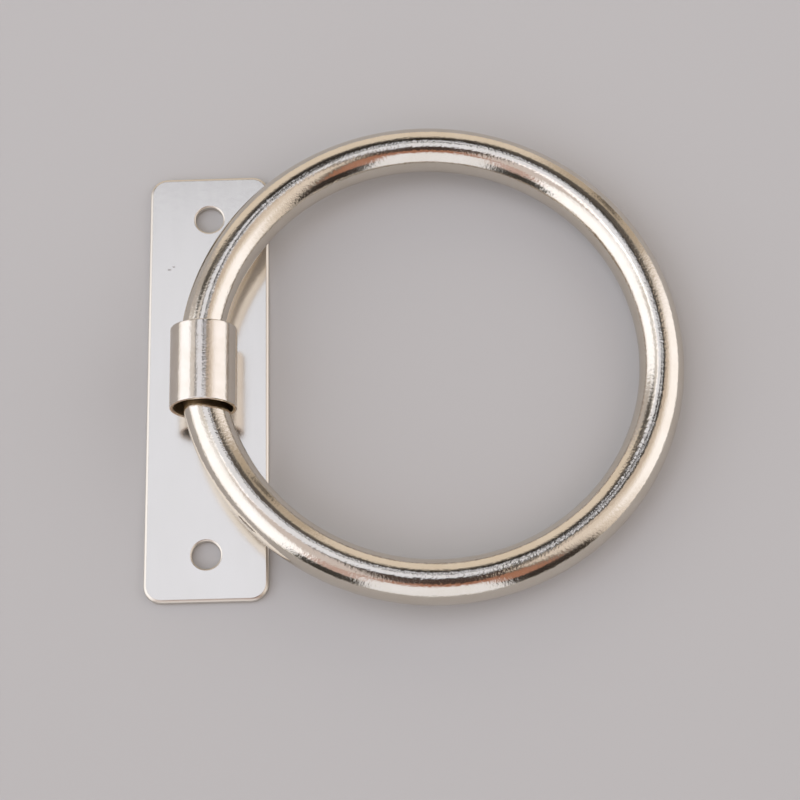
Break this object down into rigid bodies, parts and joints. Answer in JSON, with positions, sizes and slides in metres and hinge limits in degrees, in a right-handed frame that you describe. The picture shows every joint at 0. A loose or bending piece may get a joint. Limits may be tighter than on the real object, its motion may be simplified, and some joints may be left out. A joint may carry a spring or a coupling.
{
  "type": "ring pull handle",
  "caption": "Nickel-plated ring pull: a round bar ring swings in a rolled sheet strap on a flat plate with screw holes, for drawers, lids and hatches.",
  "frame": {"origin": "middle of the plate's back face, midway between the screw holes", "axes": "+Z out of the plate towards the user, +Y along the plate and the hinge axis, +X towards the side where the ring lies at rest"},
  "size_m": [0.0857, 0.08, 0.0127],
  "materials": {
    "plate_nickel": "nickel plate on smooth rolled sheet, slightly hazed",
    "strap_nickel": "nickel plate on rolled sheet, satin bright",
    "ring_nickel": "bright nickel plate over a finely pitted bar"
  },
  "bodies": {
    "base": {"back_plate": "plate_nickel", "strap": "strap_nickel"},
    "pull": {"ring": "ring_nickel"}
  },
  "joints": [
    {"name": "ring_swing", "type": "hinge", "parent": "base", "child": "pull", "pos_m": [0, 0, 0.007], "axis": [0, -1, 0], "range_deg": [0, 185.4]}
  ]
}
